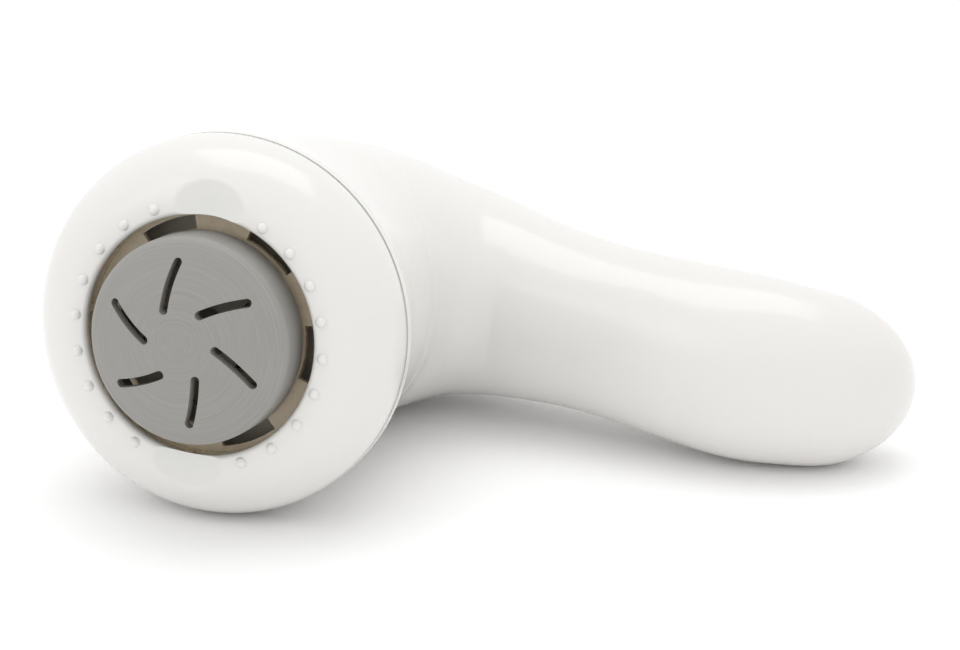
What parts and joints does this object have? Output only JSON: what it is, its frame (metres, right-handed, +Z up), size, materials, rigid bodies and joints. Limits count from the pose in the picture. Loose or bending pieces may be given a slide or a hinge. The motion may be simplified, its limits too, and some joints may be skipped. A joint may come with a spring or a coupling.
{
  "type": "facial cleansing brush",
  "caption": "Handheld rotary facial cleansing brush: angled head with a slotted domed disc in a rounded ring, lying on its side.",
  "frame": {"origin": "centre of the bounding box's base, on the table under the device", "axes": "+Z up as it lies on its side, +X towards the handle's tip, -Y towards the viewer of the disc"},
  "size_m": [0.159, 0.1118, 0.0737],
  "materials": {
    "shell_white": "gloss",
    "disc_grey": "satin",
    "guard_amber": "satin",
    "seal_amber": "satin",
    "seal_grey": "matte",
    "button_white": "satin",
    "inner_plastic": "matte",
    "inner_ivory": "matte",
    "gear_acetal": "satin",
    "bush_bronze": "satin",
    "steel": "satin",
    "magnet": "matte",
    "copper": "satin",
    "contact_metal": "gloss",
    "board_green": "satin",
    "component_black": "matte",
    "cell_wrap": "satin",
    "lead_red": "satin",
    "lead_black": "satin",
    "light_clear": "gloss"
  },
  "bodies": {
    "root": {"back_cover": "shell_white", "back_cover_screw": "steel", "back_cover_seal": "seal_grey", "battery_cell": "cell_wrap", "battery_tabs": "contact_metal", "board_components": "component_black", "board_screws": "steel", "bulkhead_screws": "steel", "button_seal": "seal_grey", "charging_contacts": "contact_metal", "chassis": "inner_plastic", "chassis_screws": "steel", "circuit_board": "board_green", "cover_gasket": "seal_grey", "cover_oring": "seal_grey", "front_bush": "bush_bronze", "gear_axle": "steel", "guard_ring": "guard_amber", "guard_screws": "steel", "head_bulkhead": "inner_ivory", "light_pipe": "light_clear", "main_casing": "shell_white", "motor_can": "steel", "motor_end_cap": "inner_plastic", "motor_lead_black": "lead_black", "motor_lead_red": "lead_red", "motor_magnets": "magnet", "motor_mount": "steel", "motor_screws": "steel", "motor_terminals": "copper", "mount_screws": "steel", "power_switch": "component_black", "rear_bush": "bush_bronze", "screw_plug": "shell_white", "spindle_seal": "seal_grey", "splash_seal": "seal_amber", "status_light": "light_clear"},
    "spindle": {"spindle": "steel", "drive_plate": "inner_ivory", "output_gear": "gear_acetal", "circlip": "steel", "thrust_washer": "steel"},
    "idler": {"reduction_gear": "gear_acetal"},
    "motor_rotor": {"motor_pinion": "gear_acetal", "motor_shaft": "steel", "motor_armature": "steel", "commutator": "copper"},
    "disc": {"cleansing_disc": "disc_grey"},
    "cover": {"front_cover": "shell_white"},
    "button": {"power_button": "button_white"}
  },
  "joints": [
    {"name": "spindle_spin", "type": "hinge", "parent": "root", "child": "spindle", "pos_m": [-0.04259, -0.03208, 0.03684], "axis": [0.0152, -0.9891, 0.1465], "continuous": true},
    {"name": "idler_spin", "type": "hinge", "parent": "root", "child": "idler", "pos_m": [-0.04115, -0.03002, 0.05061], "axis": [0.0152, -0.9891, 0.1465], "continuous": true},
    {"name": "motor_spin", "type": "hinge", "parent": "root", "child": "motor_rotor", "pos_m": [-0.04259, -0.03208, 0.03684], "axis": [0.0152, -0.9891, 0.1465], "continuous": true},
    {"name": "disc_pull", "type": "slide", "parent": "spindle", "child": "disc", "axis": [0.0152, -0.9891, 0.1465], "range_m": [0, 0.012]},
    {"name": "cover_pull", "type": "slide", "parent": "root", "child": "cover", "axis": [0.0152, -0.9891, 0.1465], "range_m": [0, 0.02]},
    {"name": "power_press", "type": "slide", "parent": "root", "child": "button", "axis": [-0.1748, -0.9709, 0.1635], "range_m": [0, 0.0008], "stiffness_N_per_m": 800}
  ],
  "couplings": [
    {"joint": "idler_spin", "follows": "spindle_spin", "ratio": -3},
    {"joint": "motor_spin", "follows": "spindle_spin", "ratio": 11}
  ]
}
